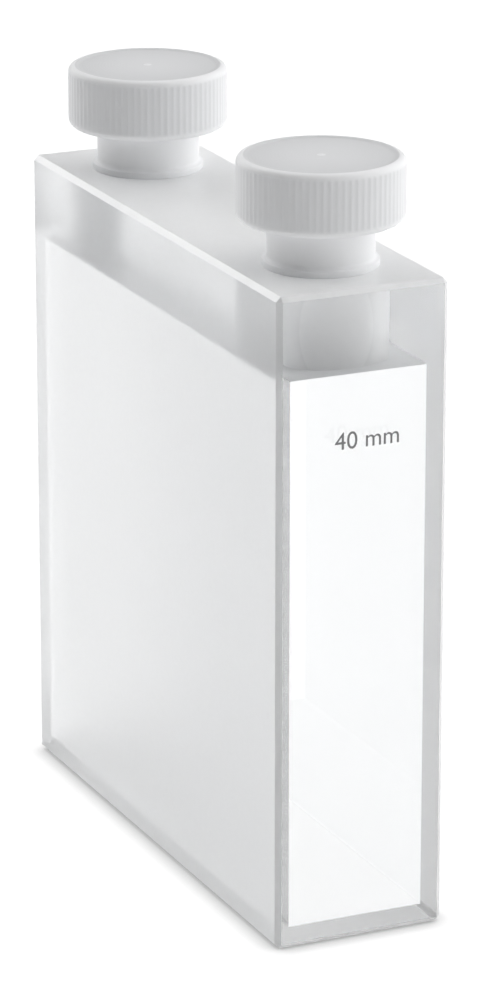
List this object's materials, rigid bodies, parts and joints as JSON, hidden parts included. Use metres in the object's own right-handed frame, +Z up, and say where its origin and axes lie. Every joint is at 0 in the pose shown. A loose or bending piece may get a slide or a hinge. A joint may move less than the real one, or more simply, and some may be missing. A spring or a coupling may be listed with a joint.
{
  "type": "cuvette",
  "caption": "Narrow clear silica measuring cell with polished windows, ground sides and two fluted white plug stoppers in its top.",
  "frame": {"origin": "middle of the cell's underside, on the plane it stands on", "axes": "+Z up along the bores, +Y along the light path from the front window to the rear window, +X across the cell to its right when seen from the front window"},
  "size_m": [0.0126, 0.0426, 0.0535],
  "materials": {
    "polished_silica": "optically polished, colourless",
    "ground_silica": "finely ground outside, colourless",
    "white_plastic": "turned, satin, slightly translucent"
  },
  "bodies": {
    "cell": {"front_window": "polished_silica", "rear_window": "polished_silica", "left_wall": "ground_silica", "right_wall": "ground_silica", "base_plate": "ground_silica", "top_block": "ground_silica"},
    "front_stopper": {"front_stopper": "white_plastic"},
    "rear_stopper": {"rear_stopper": "white_plastic"}
  },
  "joints": [
    {"name": "front_stopper_pull", "type": "slide", "parent": "cell", "child": "front_stopper", "axis": [0, 0, 1], "range_m": [0, 0.016]},
    {"name": "rear_stopper_pull", "type": "slide", "parent": "cell", "child": "rear_stopper", "axis": [0, 0, 1], "range_m": [0, 0.016]}
  ]
}
